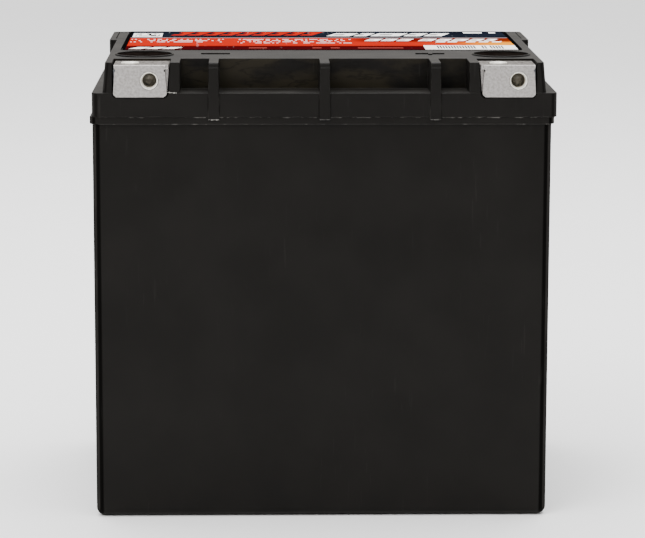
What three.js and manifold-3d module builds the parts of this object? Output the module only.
// A 12 V, 30 Ah valve-regulated motorcycle battery, built as it comes apart on a bench:
// container, cover, vent cover and valves, bolt-on terminals, lead posts and six cells in series.
// Millimetres, +Z up, +Y to the back. The origin is the centre of the box at the underside.
import * as THREE from "three";
import { mergeVertices } from "three/addons/utils/BufferGeometryUtils.js";
import Module from "manifold-3d";

const wasm = await Module();
wasm.setup();

// ---------------------------------------------------------------- driving dimensions
const LENGTH = 167; // overall, along X
const HEIGHT = 167; // underside to the top of the collars round the wells
const DEPTH = 126; // overall, along Y, ribs included
const JOINT_SHIFT = 0.4; // the welded cover sits this far to +X of centre, the container as far to -X
const RIB_PROUD = 0.6; // how far the cover's ribs stand in front of its skirt
const BODY_Y = RIB_PROUD / 2; // the container's and skirt's own middle

// heights
const RIM_Z = 144.4; // underside of the container's rim
const SEAM_Z = 147; // the weld between the container and the cover
const LEDGE_Z = 155.6; // the step round the cover
const LABEL_THICK = 0.25;
const LABEL_BED = 0.05; // adhesive under the label
const COLLAR_PROUD = 0.5;
const DECK_Z = HEIGHT - COLLAR_PROUD; // top of the cover

// container
const SKIRT_HALF_X = LENGTH / 2 - JOINT_SHIFT;
const SKIRT_HALF_Y = (DEPTH - RIB_PROUD) / 2;
const RIM_HALF_Y = SKIRT_HALF_Y - 0.3;
const CASE_HALF_X = SKIRT_HALF_X - 0.8;
const CASE_HALF_Y = SKIRT_HALF_Y - 1.5;
const CASE_CORNER = 3.2;
const CASE_FOOT_RADIUS = 3;
const SKIRT_CORNER = 2.4;
const WALL = 2.6;
const FLOOR = 3.2;
const CELLS = 6;
const PARTITION = 1.6;
const CELL_WIDTH = (2 * (CASE_HALF_X - WALL) - (CELLS - 1) * PARTITION) / CELLS;
const CELL_PITCH = CELL_WIDTH + PARTITION;
const CELL_HALF_Y = CASE_HALF_Y - WALL;

// cover
const BLOCK_HALF_X = 79.2; // the raised block at its foot
const BLOCK_DRAFT = 1;
const BLOCK_FRONT = -62.0;
const BLOCK_BACK = 61.8;
const RECESS_HALF_X = 51.6; // the bay between the two terminal blocks
const RECESS_BACK = -47.2;
const RIB_PITCH = 39.6;
const RIB_WIDTH = 3.5; // at the deck
const RIB_FOOT = 4.1; // at the seam
const RIB_BEVEL = 2;
const SHELL = 2.8; // the cover's wall
const SHOULDER_FRONT = 26; // the wider back end of the cover
const SHOULDER_HALF_X = 81.1;
const VENT_HALF_X = 78.6; // the plate let into the back end
const VENT_FRONT = 31.5;
const VENT_BACK = 60;
const VENT_THICK = 2.2;
const GALLERY_FLOOR = 158.4;

// terminals, measured from the middle of each front plate
const TERMINAL_X = 65.8;
const PLATE_HALF_X = 9.55;
const PLATE_THICK = 1.8;
const FLANGE_FOOT = 9.7; // outer face of the terminal's inner flange, which leans out
const FLANGE_TOP = 10.4;
const PLATE_FRONT = -62.7;
const PLATE_BACK = -47.8;
const PLATE_FOOT = 154.1;
const PLATE_TOP = 165.7;
const BOLT_FRONT_X = 3.3;
const BOLT_FRONT_Z = 160;
const BOLT_TOP_X = -3.6;
const BOLT_TOP_Y = -57;
const PLATE_HOLE_R = 3.3;
const INSERT_R = 3.15;
const THREAD_R = 2.5; // core of an M6 thread
const LEAD_IN = 3; // depth of the tapered mouth ahead of the thread
const TOP_PROUD = 0.4; // how far the top insert stands above the plate

// posts and wells
const WELL_X = 65.2;
const WELL_Y = -33.4;
const WELL_R = 10;
const COLLAR_R = 10.9;
const POST_R = 5;
const RESIN_Z = DECK_Z;

// cells
const STRAP_Y = 33.4;
const PLATE_HALF_Y = 56;
const GROUP_FOOT = 7;
const GROUP_TOP = 125;
const LUG_TOP = 131;
const STRAP_TOP = 135;
const WELD_Z = 139;
const NEGATIVE = { plates: 5, thick: 1.7 };
const POSITIVE = { plates: 4, thick: 2.2 };
const STACK = 24; // a cell's plates and mats, pressed together
const MAT_GAPS = NEGATIVE.plates + POSITIVE.plates - 1;
const MAT_GAP = (STACK - NEGATIVE.plates * NEGATIVE.thick - POSITIVE.plates * POSITIVE.thick) / MAT_GAPS;
const PLATE_PITCH = NEGATIVE.thick + POSITIVE.thick + 2 * MAT_GAP;

// valves
const VALVE_Y = 48;
const NIPPLE_R = 4;
const NIPPLE_TOP = 162.2;
const CAP_R = 6;
const CAP_TOP = 163.6;
const CAP_FIT = 0.15;

const TINY = 0.3; // clearance between pieces that touch
const PAST = 1; // how far a cutter runs past the face it opens

// ---------------------------------------------------------------- shapes
// A closed three.js geometry as a solid that can be joined and cut.
function solid(geometry) {
  const loose = geometry.index ? geometry.toNonIndexed() : geometry;
  const bare = new THREE.BufferGeometry().setAttribute("position", loose.getAttribute("position"));
  const merged = mergeVertices(bare, 1e-4);
  const triVerts = new Uint32Array(merged.index.array);
  return new wasm.Manifold(new wasm.Mesh({ numProp: 3, vertProperties: merged.attributes.position.array, triVerts }));
}

function block(x0, x1, y0, y1, z0, z1) {
  const geometry = new THREE.BoxGeometry(x1 - x0, y1 - y0, z1 - z0);
  return solid(geometry.translate((x0 + x1) / 2, (y0 + y1) / 2, (z0 + z1) / 2));
}

function roundedRectangle(halfX, halfY, radius) {
  const shape = new THREE.Shape();
  shape.absarc(halfX - radius, halfY - radius, radius, 0, Math.PI / 2);
  shape.absarc(radius - halfX, halfY - radius, radius, Math.PI / 2, Math.PI);
  shape.absarc(radius - halfX, radius - halfY, radius, Math.PI, 1.5 * Math.PI);
  shape.absarc(halfX - radius, radius - halfY, radius, 1.5 * Math.PI, 2 * Math.PI);
  return shape;
}

// A rounded rectangle, halfX by halfY about (x, y), standing from z0 to z1.
function slab(halfX, halfY, radius, z0, z1, x = 0, y = 0) {
  const settings = { depth: z1 - z0, bevelEnabled: false, curveSegments: 4 };
  return solid(new THREE.ExtrudeGeometry(roundedRectangle(halfX, halfY, radius), settings).translate(x, y, z0));
}

function upright(radius, z0, z1, x, y, sides = 32) {
  const geometry = new THREE.CylinderGeometry(radius, radius, z1 - z0, sides).rotateX(Math.PI / 2);
  return solid(geometry.translate(x, y, (z0 + z1) / 2));
}

// A cylinder or cone lying along Y, with its radius at y0 and at y1.
function lying(radius0, radius1, y0, y1, x, z, sides = 32) {
  return solid(new THREE.CylinderGeometry(radius1, radius0, y1 - y0, sides).translate(x, (y0 + y1) / 2, z));
}

// A flat outline in the XZ plane, given as [x, z] points, carried from y0 to y1.
function profile(points, y0, y1) {
  const shape = new THREE.Shape(points.map(([x, z]) => new THREE.Vector2(x, z)));
  const geometry = new THREE.ExtrudeGeometry(shape, { depth: y1 - y0, bevelEnabled: false });
  return solid(geometry.rotateX(Math.PI / 2).translate(0, y1, 0));
}

const joined = (solids) => solids.reduce((whole, piece) => whole.add(piece));
const without = (body, cutters) => cutters.reduce((whole, cutter) => whole.subtract(cutter), body);
const cellX = (cell) => (cell - (CELLS - 1) / 2) * CELL_PITCH; // middle of cell 0 to 5
const partitionX = (cell) => cellX(cell) + CELL_PITCH / 2; // the wall after a cell
const weldSide = (cell) => (cell % 2 === 0 ? 1 : -1); // joints alternate back, front, back
const weldY = (cell) => BODY_Y + weldSide(cell) * STRAP_Y;

// ---------------------------------------------------------------- container
const FOOT_PANEL = { inset: 7, deep: 0.8, bar: 5 };

function container() {
  const outline = roundedRectangle(CASE_HALF_X, CASE_HALF_Y, CASE_CORNER);
  const settings = {
    depth: SEAM_Z - 2 * CASE_FOOT_RADIUS + PAST,
    bevelThickness: CASE_FOOT_RADIUS,
    bevelSize: CASE_FOOT_RADIUS,
    bevelOffset: -CASE_FOOT_RADIUS,
    bevelSegments: 3,
    curveSegments: 4,
  };
  const tub = solid(new THREE.ExtrudeGeometry(outline, settings).translate(0, BODY_Y, CASE_FOOT_RADIUS));
  const rim = slab(SKIRT_HALF_X, RIM_HALF_Y, SKIRT_CORNER, RIM_Z, SEAM_Z, 0, BODY_Y);
  const aboveSeam = block(-LENGTH, LENGTH, -DEPTH, DEPTH, SEAM_Z, SEAM_Z + 10);
  const cells = [];
  const footPanels = [];
  for (let cell = 0; cell < CELLS; cell++) {
    cells.push(slab(CELL_WIDTH / 2, CELL_HALF_Y, 1.2, FLOOR, SEAM_Z + PAST, cellX(cell), BODY_Y));
  }
  const panelHalfX = (CASE_HALF_X - FOOT_PANEL.inset - FOOT_PANEL.bar / 2) / 2;
  const panelHalfY = CASE_HALF_Y - FOOT_PANEL.inset;
  for (const side of [-1, 1]) {
    const x = side * (panelHalfX + FOOT_PANEL.bar / 2);
    footPanels.push(slab(panelHalfX, panelHalfY, 4, -PAST, FOOT_PANEL.deep, x, BODY_Y));
  }
  const weldHoles = [];
  for (let cell = 0; cell < CELLS - 1; cell++) {
    const hole = new THREE.CylinderGeometry(3.8, 3.8, 2 * PARTITION, 16).rotateZ(Math.PI / 2);
    weldHoles.push(solid(hole.translate(partitionX(cell), weldY(cell), WELD_Z)));
  }
  return without(tub.subtract(aboveSeam).add(rim), [...cells, ...footPanels, ...weldHoles]);
}

// ---------------------------------------------------------------- cover
// The raised block, drafted so that its sides lean in towards the deck.
function raisedBlock() {
  const height = DECK_Z - LEDGE_Z + PAST;
  const middle = (BLOCK_FRONT + BLOCK_BACK) / 2;
  const shape = roundedRectangle(BLOCK_HALF_X, (BLOCK_BACK - BLOCK_FRONT) / 2, 1.6);
  const geometry = new THREE.ExtrudeGeometry(shape, { depth: height, bevelEnabled: false, curveSegments: 4 });
  const place = geometry.getAttribute("position");
  for (let i = 0; i < place.count; i++) {
    const lean = (BLOCK_DRAFT * place.getZ(i)) / height;
    place.setX(i, place.getX(i) - Math.sign(place.getX(i)) * lean);
  }
  return solid(geometry.translate(0, middle, LEDGE_Z - PAST));
}

// One rib: a buttress from the deck, across the bay, and down the skirt to just past the seam.
// It is wider at its foot.
function rib(x) {
  const tapered = (y0, y1, z0, z1) => {
    const half = (z) => (RIB_FOOT - ((RIB_FOOT - RIB_WIDTH) * (z - SEAM_Z)) / (DECK_Z - SEAM_Z)) / 2;
    return profile([[x - half(z0), z0], [x + half(z0), z0], [x + half(z1), z1], [x - half(z1), z1]], y0, y1);
  };
  const skirtFace = BODY_Y - SKIRT_HALF_Y;
  const buttress = tapered(-DEPTH / 2, RECESS_BACK + PAST, LEDGE_Z - PAST, DECK_Z);
  const band = tapered(-DEPTH / 2, skirtFace + 0.5, SEAM_Z, DECK_Z - 5);
  const toe = tapered(-DEPTH / 2, skirtFace, SEAM_Z - 0.8, SEAM_Z + PAST);
  const body = joined([buttress, band, toe]);
  const settings = { depth: 2 * RIB_WIDTH, bevelEnabled: false };
  const corner = new THREE.Shape([
    new THREE.Vector2(-DEPTH / 2 - PAST, DECK_Z + PAST),
    new THREE.Vector2(-DEPTH / 2 - PAST, DECK_Z - RIB_BEVEL),
    new THREE.Vector2(-DEPTH / 2, DECK_Z - RIB_BEVEL),
    new THREE.Vector2(-DEPTH / 2 + 0.5, DECK_Z - 0.5),
    new THREE.Vector2(-DEPTH / 2 + 1.2, DECK_Z),
    new THREE.Vector2(-DEPTH / 2 + 1.2, DECK_Z + PAST),
  ]);
  const bevel = new THREE.ExtrudeGeometry(corner, settings).rotateY(Math.PI / 2).rotateX(Math.PI / 2);
  return body.subtract(solid(bevel.translate(x - RIB_WIDTH, 0, 0)));
}

// The pocket that a terminal drops into, open to the front and the top. Its inner wall leans away.
function terminalPocket(x, inner) {
  const outerX = x - inner * (PLATE_HALF_X + TINY);
  const footX = x + inner * (FLANGE_FOOT + TINY);
  const topX = x + inner * (FLANGE_TOP + TINY);
  const chamfer = 1.1;
  const foot = PLATE_FOOT - TINY;
  const points = [
    [outerX, foot + chamfer],
    [outerX + inner * chamfer, foot],
    [footX - inner * chamfer, foot],
    [footX, foot + chamfer],
    [topX, PLATE_TOP],
    [topX, DECK_Z + PAST],
    [outerX, DECK_Z + PAST],
  ];
  return profile(points, BLOCK_FRONT - 5, PLATE_BACK + TINY);
}

// The hole behind a terminal: well for the resin, tunnel for the terminal's tail, bore for the post.
function postWell(x, tailX) {
  const seat = 156.6;
  const well = upright(WELL_R, seat, DECK_Z + 2, x, WELL_Y, 48);
  const bore = upright(POST_R + TINY, SEAM_Z - PAST, seat + PAST, x, WELL_Y);
  const tunnel = block(tailX - 5.3, tailX + 5.3, PLATE_BACK - PAST, WELL_Y, seat, 161.7);
  return joined([well, bore, tunnel]);
}

// The hollow underneath, one space for each cell, so that the walls between cells carry on upwards.
function coverHollow() {
  const under = GALLERY_FLOOR - SHELL;
  const front = block(-79.2, 79.2, BODY_Y - CELL_HALF_Y, RECESS_BACK + SHELL, SEAM_Z - PAST, LEDGE_Z - SHELL);
  const middle = block(-75.4, 75.4, RECESS_BACK + SHELL - PAST, VENT_FRONT - 2, SEAM_Z - PAST, DECK_Z - SHELL - 0.6);
  const back = block(-75.4, 75.4, VENT_FRONT - 3, BODY_Y + CELL_HALF_Y - 0.4, SEAM_Z - PAST, under);
  const skirt = block(-79.2, 79.2, BODY_Y - CELL_HALF_Y, BODY_Y + CELL_HALF_Y - 0.4, SEAM_Z - PAST, LEDGE_Z - SHELL);
  const whole = joined([front, middle, back, skirt]);
  const bosses = [-1, 1].map((side) => upright(WELL_R + SHELL, 152, DECK_Z, side * WELL_X, WELL_Y));
  const walls = [];
  for (let cell = 0; cell < CELLS - 1; cell++) {
    const x = partitionX(cell);
    walls.push(block(x - PARTITION / 2, x + PARTITION / 2, -DEPTH, DEPTH, SEAM_Z - 2, DECK_Z));
  }
  return without(whole, [...bosses, ...walls]);
}

// Raised polarity signs, cast into the deck: a bar for minus and a cross for plus.
const SIGN = { x: 39.3, y: -30.5, length: 10.6, stroke: 1.5, proud: 0.3 };

function polaritySigns() {
  const bar = (x, halfX, halfY) =>
    block(x - halfX, x + halfX, SIGN.y - halfY, SIGN.y + halfY, DECK_Z - PAST, DECK_Z + SIGN.proud);
  const [long, thin] = [SIGN.length / 2, SIGN.stroke / 2];
  return joined([bar(-SIGN.x, long, thin), bar(SIGN.x, long, thin), bar(SIGN.x, thin, 0.7 * long)]);
}

const LABEL = { halfX: 74.8, front: -15.6, back: 59.4, corner: 1.5 };
const labelMiddle = (LABEL.front + LABEL.back) / 2;
const labelHalfY = (LABEL.back - LABEL.front) / 2;

// The vent plate's outline, and its seat with a hairline all round.
function ventSlab(gap, z0, z1) {
  const halfY = (VENT_BACK - VENT_FRONT) / 2;
  return slab(VENT_HALF_X + gap, halfY + gap, 1 + gap, z0, z1, 0, (VENT_BACK + VENT_FRONT) / 2);
}

function cover() {
  const skirt = slab(SKIRT_HALF_X, SKIRT_HALF_Y, SKIRT_CORNER, SEAM_Z, LEDGE_Z, 0, BODY_Y);
  const shoulderHalfY = (BLOCK_BACK - SHOULDER_FRONT) / 2;
  const shoulderMiddle = (BLOCK_BACK + SHOULDER_FRONT) / 2;
  const shoulders = slab(SHOULDER_HALF_X, shoulderHalfY, 1.6, LEDGE_Z - PAST, DECK_Z, 0, shoulderMiddle);
  const aboveDeck = block(-LENGTH, LENGTH, -DEPTH, DEPTH, DECK_Z, DECK_Z + 10);
  const bay = block(-RECESS_HALF_X, RECESS_HALF_X, -DEPTH, RECESS_BACK, LEDGE_Z, DECK_Z + PAST);
  const ventSeat = ventSlab(TINY, DECK_Z - VENT_THICK, DECK_Z + PAST);
  const gallery = slab(73.5, 9.8, 2, GALLERY_FLOOR, DECK_Z, 0, VALVE_Y);
  const labelBed = slab(LABEL.halfX + 0.4, labelHalfY + 0.4, 1.9, DECK_Z - 0.1, DECK_Z + PAST, 0, labelMiddle);
  const ribs = [-1, 0, 1].map((place) => rib(place * RIB_PITCH));
  const collars = [-1, 1].map((side) =>
    upright(COLLAR_R, DECK_Z - PAST, DECK_Z + COLLAR_PROUD, side * WELL_X, WELL_Y, 48));
  const nipples = [];
  const bores = [];
  const gasWays = [];
  for (let cell = 0; cell < CELLS; cell++) {
    nipples.push(upright(NIPPLE_R, GALLERY_FLOOR - PAST, NIPPLE_TOP, cellX(cell), VALVE_Y, 20));
    bores.push(upright(1.8, SEAM_Z, NIPPLE_TOP + PAST, cellX(cell), VALVE_Y, 12));
  }
  for (const side of [-1, 1]) {
    const x = [side * 72, side * (SHOULDER_HALF_X + PAST)].sort((a, b) => a - b);
    gasWays.push(block(...x, VALVE_Y - 1.5, VALVE_Y + 1.5, DECK_Z - VENT_THICK - 2.4, DECK_Z - VENT_THICK - 0.8));
  }
  const block0 = raisedBlock().subtract(aboveDeck).subtract(bay);
  const outside = joined([skirt, block0, shoulders]);
  const opened = without(outside, [coverHollow(), ventSeat, gallery, ...gasWays, labelBed]);
  const raised = joined([opened, ...ribs, ...collars, polaritySigns(), ...nipples]);
  return without(raised, [
    ...bores,
    postWell(-WELL_X, -TERMINAL_X),
    postWell(WELL_X, TERMINAL_X),
    terminalPocket(-TERMINAL_X, 1),
    terminalPocket(TERMINAL_X, -1),
  ]);
}

// The plate that closes the valve gallery, flush with the deck.
function ventCover() {
  const labelBed = slab(LABEL.halfX + 0.4, labelHalfY + 0.4, 1.9, DECK_Z - 0.1, DECK_Z + PAST, 0, labelMiddle);
  return ventSlab(0, DECK_Z - VENT_THICK, DECK_Z).subtract(labelBed);
}

const topLabel = () =>
  slab(LABEL.halfX, labelHalfY, LABEL.corner, DECK_Z + LABEL_BED, DECK_Z + LABEL_BED + LABEL_THICK, 0, labelMiddle);

// A rubber cap that sits over a nipple and lifts to let gas past.
function valveCap() {
  const inside = NIPPLE_TOP + TINY;
  const skirt = GALLERY_FLOOR + 0.8;
  const innerR = NIPPLE_R + CAP_FIT;
  const outline = [
    [0, inside],
    [innerR, inside],
    [innerR, skirt],
    [CAP_R - 0.4, skirt],
    [CAP_R, skirt + 0.4],
    [CAP_R, CAP_TOP - 0.6],
    [CAP_R - 0.6, CAP_TOP],
    [0, CAP_TOP],
  ];
  const points = outline.map(([r, z]) => new THREE.Vector2(r, z));
  return solid(new THREE.LatheGeometry(points, 20).rotateX(Math.PI / 2));
}

// ---------------------------------------------------------------- terminals
// Folded plate: a top, a front flap and a leaning flange on the inner side, about the plate's own middle.
// The flap is notched where the bend was relieved and a little wider at its foot.
function terminalPlate(inner) {
  const across = [-inner * (PLATE_HALF_X - 0.3), inner * FLANGE_TOP].sort((a, b) => a - b);
  const top = block(...across, PLATE_FRONT + 0.8, PLATE_BACK, PLATE_TOP - PLATE_THICK, PLATE_TOP);
  const chamfer = 1.1;
  const notchZ = 163.1;
  const halfOutline = [
    [PLATE_HALF_X - chamfer, PLATE_FOOT],
    [PLATE_HALF_X, PLATE_FOOT + chamfer],
    [PLATE_HALF_X - 0.5, notchZ],
    [PLATE_HALF_X - 0.9, notchZ + 0.3],
    [PLATE_HALF_X - 0.9, notchZ + 0.9],
    [PLATE_HALF_X - 0.3, notchZ + 1.3],
    [PLATE_HALF_X - 0.3, PLATE_TOP],
  ];
  const otherHalf = halfOutline.map(([x, z]) => [-x, z]).reverse();
  const flap = profile([...halfOutline, ...otherHalf], PLATE_FRONT, PLATE_FRONT + PLATE_THICK);
  const lean = [
    [inner * (FLANGE_FOOT - 1.4), 155.9],
    [inner * FLANGE_FOOT, 155.9],
    [inner * FLANGE_TOP, PLATE_TOP - 0.4],
    [inner * (FLANGE_TOP - 1.4), PLATE_TOP - 0.4],
  ];
  const flange = profile(inner > 0 ? lean : lean.reverse(), PLATE_FRONT + PLATE_THICK + 0.4, PLATE_BACK);
  const fold = new THREE.BoxGeometry(4 * PLATE_HALF_X, 1.2, 1.2).rotateX(Math.PI / 4);
  const foldCut = solid(fold.translate(0, PLATE_FRONT - 0.1, PLATE_TOP + 0.1));
  const frontHole = lying(PLATE_HOLE_R, PLATE_HOLE_R, PLATE_FRONT - PAST, -58, BOLT_FRONT_X, BOLT_FRONT_Z);
  const topHole = upright(PLATE_HOLE_R, 162, PLATE_TOP + PAST, BOLT_TOP_X, BOLT_TOP_Y);
  return without(joined([top, flap, flange]), [foldCut, frontHole, topHole]);
}

const BLOCK_FACE = PLATE_FRONT + PLATE_THICK + TINY;
const BLOCK_CROWN = PLATE_TOP - PLATE_THICK - TINY;
const SEAT_R = INSERT_R + 0.15;

// Cast lead block behind the plate, with a tail to the eye that is burned round the post.
function terminalBlock(inner, postX) {
  const innerX = inner * (FLANGE_FOOT - 1.4 - TINY);
  const outerX = -inner * (PLATE_HALF_X - 0.1);
  const body = block(Math.min(innerX, outerX), Math.max(innerX, outerX), BLOCK_FACE, PLATE_BACK, 156.3, BLOCK_CROWN);
  const tail = block(-5, 5, PLATE_BACK - PAST, WELL_Y, 156.9, 161.4);
  const eye = upright(8, 156.9, 161.4, postX, WELL_Y);
  const eyeHole = upright(POST_R + TINY, 150, 170, postX, WELL_Y);
  const frontSeat = lying(SEAT_R, SEAT_R, BLOCK_FACE - PAST, -52, BOLT_FRONT_X, BOLT_FRONT_Z);
  const topSeat = upright(SEAT_R, 157.4, BLOCK_CROWN + PAST, BOLT_TOP_X, BOLT_TOP_Y);
  return without(joined([body, tail, eye]), [eyeHole, frontSeat, topSeat]);
}

// Brass bush with a blind M6 core hole and a countersunk mouth. Its mouth is at the origin, facing +Z.
function threadedInsert(length) {
  const outline = [
    [0, -length],
    [INSERT_R, -length],
    [INSERT_R, 0],
    [INSERT_R - 0.25, 0],
    [THREAD_R, -LEAD_IN],
    [THREAD_R, 1.8 - length],
    [0, 1 - length],
  ];
  const points = outline.map(([r, z]) => new THREE.Vector2(r, z));
  return new THREE.LatheGeometry(points, 24).rotateX(Math.PI / 2);
}

// ---------------------------------------------------------------- posts
const POST = { foot: STRAP_TOP, top: 161.4, flange: 7, flangeTop: STRAP_TOP + 2.5 };

function leadPost() {
  const outline = [
    [0, POST.foot],
    [POST.flange, POST.foot],
    [POST.flange, POST.flangeTop],
    [POST_R, POST.flangeTop + 2],
    [POST_R, POST.top],
    [0, POST.top],
  ];
  const points = outline.map(([r, z]) => new THREE.Vector2(r, z));
  return new THREE.LatheGeometry(points, 24).rotateX(Math.PI / 2);
}

// Resin poured over the tail and post, with the dimple that it set with.
function resinSeal() {
  const disc = upright(WELL_R - 0.1, 161.8, RESIN_Z, 0, 0, 48);
  const dimple = upright(1.2, RESIN_Z - 1.2, RESIN_Z + PAST, 0, -5.2, 12);
  return disc.subtract(dimple);
}

// ---------------------------------------------------------------- cells
// Where a cell's plates stand, from the middle of the cell: every other one is negative.
const negativeX = (i) => (i - (NEGATIVE.plates - 1) / 2) * PLATE_PITCH;
const positiveX = (i) => (i - (POSITIVE.plates - 1) / 2) * PLATE_PITCH;

// Plates of one polarity, their lugs and the strap cast over them. side is -1 at the front, 1 at the back.
// tabs holds the sides, -1 or 1 along X, where an upright joins the strap to the next cell.
function plateGroup(kind, placeX, side, tabs) {
  const y = side * STRAP_Y;
  const pieces = [block(-11.4, 11.4, y - 7, y + 7, LUG_TOP, STRAP_TOP)];
  for (let i = 0; i < kind.plates; i++) {
    const [x0, x1] = [placeX(i) - kind.thick / 2, placeX(i) + kind.thick / 2];
    pieces.push(block(x0, x1, -PLATE_HALF_Y, PLATE_HALF_Y, GROUP_FOOT, GROUP_TOP));
    pieces.push(block(x0, x1, y - 6, y + 6, GROUP_TOP - PAST, LUG_TOP + PAST));
  }
  for (const tab of tabs) {
    const x = [tab * (CELL_WIDTH / 2 - TINY), tab * (CELL_WIDTH / 2 - 2.9)].sort((a, b) => a - b);
    pieces.push(block(...x, y - 6, y + 6, LUG_TOP, WELD_Z + 5));
  }
  return joined(pieces);
}

// One glass mat, folded back and forth between all the plates of a cell. The outline follows the
// middle line of the mat, half a thickness to either side.
const MAT = { thick: 0.6, foot: 4.2, top: 127.5, endY: 57.6 };

function glassMat() {
  const half = MAT.thick / 2;
  const turnY = MAT.endY - half;
  const line = [];
  let x = negativeX(0) + (NEGATIVE.thick + MAT_GAP) / 2;
  for (let i = 0; i < MAT_GAPS; i++) {
    const end = i % 2 === 0 ? 1 : -1;
    line.push(new THREE.Vector2(x, -end * turnY), new THREE.Vector2(x, end * turnY));
    x += (i % 2 === 0 ? POSITIVE.thick : NEGATIVE.thick) + MAT_GAP;
  }
  const left = [];
  const right = [];
  line.forEach((point, i) => {
    const before = line[Math.max(i - 1, 0)];
    const after = line[Math.min(i + 1, line.length - 1)];
    const offset = new THREE.Vector2(0, 0);
    for (const [from, to] of [[before, point], [point, after]]) {
      const run = to.clone().sub(from).normalize();
      offset.add(new THREE.Vector2(-run.y, run.x).multiplyScalar(half));
    }
    left.push(point.clone().add(offset));
    right.push(point.clone().sub(offset));
  });
  const shape = new THREE.Shape([...left, ...right.reverse()]);
  const settings = { depth: MAT.top - MAT.foot, bevelEnabled: false };
  return new THREE.ExtrudeGeometry(shape, settings).translate(0, 0, MAT.foot);
}

// Weld nugget through a partition, between the uprights of two neighbouring cells.
function intercellWeld() {
  return new THREE.CylinderGeometry(3.5, 3.5, PARTITION + 0.4, 16).rotateZ(Math.PI / 2);
}

// ---------------------------------------------------------------- assembly
const paint = (color, roughness, metalness) => new THREE.MeshStandardMaterial({ color, roughness, metalness });
const MATERIALS = {
  casePlastic: paint(0x201f1d, 0.5, 0),
  coverPlastic: paint(0x232220, 0.55, 0),
  label: paint(0xd03a20, 0.4, 0),
  rubber: paint(0x2a2a2a, 0.8, 0),
  tinned: paint(0xb9b5b0, 0.45, 0.9),
  lead: paint(0x7c7f84, 0.6, 0.8),
  brass: paint(0xc9b98c, 0.35, 0.9),
  resin: paint(0x2a211c, 0.35, 0),
  negative: paint(0x8a8d90, 0.8, 0.3),
  positive: paint(0x5b3a2c, 0.85, 0.1),
  glassMat: paint(0xe6e6e0, 0.95, 0),
};

function meshOf(name, shape, material) {
  if (shape.isBufferGeometry) {
    const mesh = new THREE.Mesh(shape, material);
    mesh.name = name;
    return mesh;
  }
  const { vertProperties, triVerts } = shape.getMesh();
  const geometry = new THREE.BufferGeometry();
  geometry.setAttribute("position", new THREE.BufferAttribute(vertProperties, 3));
  geometry.setIndex(new THREE.BufferAttribute(triVerts, 1));
  const mesh = new THREE.Mesh(geometry, material);
  mesh.name = name;
  return mesh;
}

function terminalAssembly(polarity, side) {
  const group = new THREE.Group();
  const inner = -side;
  group.position.x = side * TERMINAL_X;
  group.add(meshOf(`terminal_plate_${polarity}`, terminalPlate(inner), MATERIALS.tinned));
  group.add(meshOf(`terminal_block_${polarity}`, terminalBlock(inner, side * (WELL_X - TERMINAL_X)), MATERIALS.lead));
  const front = meshOf(`front_insert_${polarity}`, threadedInsert(10), MATERIALS.brass);
  front.position.set(BOLT_FRONT_X, PLATE_FRONT + 0.1, BOLT_FRONT_Z);
  front.rotation.x = Math.PI / 2;
  const top = meshOf(`top_insert_${polarity}`, threadedInsert(8), MATERIALS.brass);
  top.position.set(BOLT_TOP_X, BOLT_TOP_Y, PLATE_TOP + TOP_PROUD);
  group.add(front, top);
  return group;
}

const coverGroup = new THREE.Group();
coverGroup.position.x = JOINT_SHIFT;
coverGroup.add(meshOf("cover", cover(), MATERIALS.coverPlastic));
coverGroup.add(meshOf("vent_cover", ventCover(), MATERIALS.coverPlastic));
coverGroup.add(meshOf("top_label", topLabel(), MATERIALS.label));
for (const [polarity, side] of [["negative", -1], ["positive", 1]]) {
  coverGroup.add(terminalAssembly(polarity, side));
  const post = meshOf(`post_${polarity}`, leadPost(), MATERIALS.lead);
  post.position.set(side * WELL_X, WELL_Y, 0);
  const seal = meshOf(`resin_seal_${polarity}`, resinSeal(), MATERIALS.resin);
  seal.position.set(side * WELL_X, WELL_Y, 0);
  coverGroup.add(post, seal);
}
for (let cell = 0; cell < CELLS; cell++) {
  const cap = meshOf(`valve_cap_${cell + 1}`, valveCap(), MATERIALS.rubber);
  cap.position.set(cellX(cell), VALVE_Y, 0);
  coverGroup.add(cap);
}

const containerGroup = new THREE.Group();
containerGroup.position.x = -JOINT_SHIFT;
containerGroup.add(meshOf("container", container(), MATERIALS.casePlastic));
for (let cell = 0; cell < CELLS; cell++) {
  const cellGroup = new THREE.Group();
  cellGroup.position.set(cellX(cell), BODY_Y, 0);
  // A cell hands its positive group on at its weld side; its negative group stands on the other.
  const tabsOut = cell < CELLS - 1 ? [1] : [];
  const tabsIn = cell > 0 ? [-1] : [];
  const number = cell + 1;
  const positive = plateGroup(POSITIVE, positiveX, weldSide(cell), tabsOut);
  const negative = plateGroup(NEGATIVE, negativeX, -weldSide(cell), tabsIn);
  cellGroup.add(meshOf(`positive_group_${number}`, positive, MATERIALS.positive));
  cellGroup.add(meshOf(`negative_group_${number}`, negative, MATERIALS.negative));
  cellGroup.add(meshOf(`glass_mat_${number}`, glassMat(), MATERIALS.glassMat));
  containerGroup.add(cellGroup);
  if (cell < CELLS - 1) {
    const weld = meshOf(`intercell_weld_${number}`, intercellWeld(), MATERIALS.lead);
    weld.position.set(partitionX(cell), weldY(cell), WELD_Z);
    containerGroup.add(weld);
  }
}

const battery = new THREE.Group();
battery.add(containerGroup, coverGroup);

export default battery;
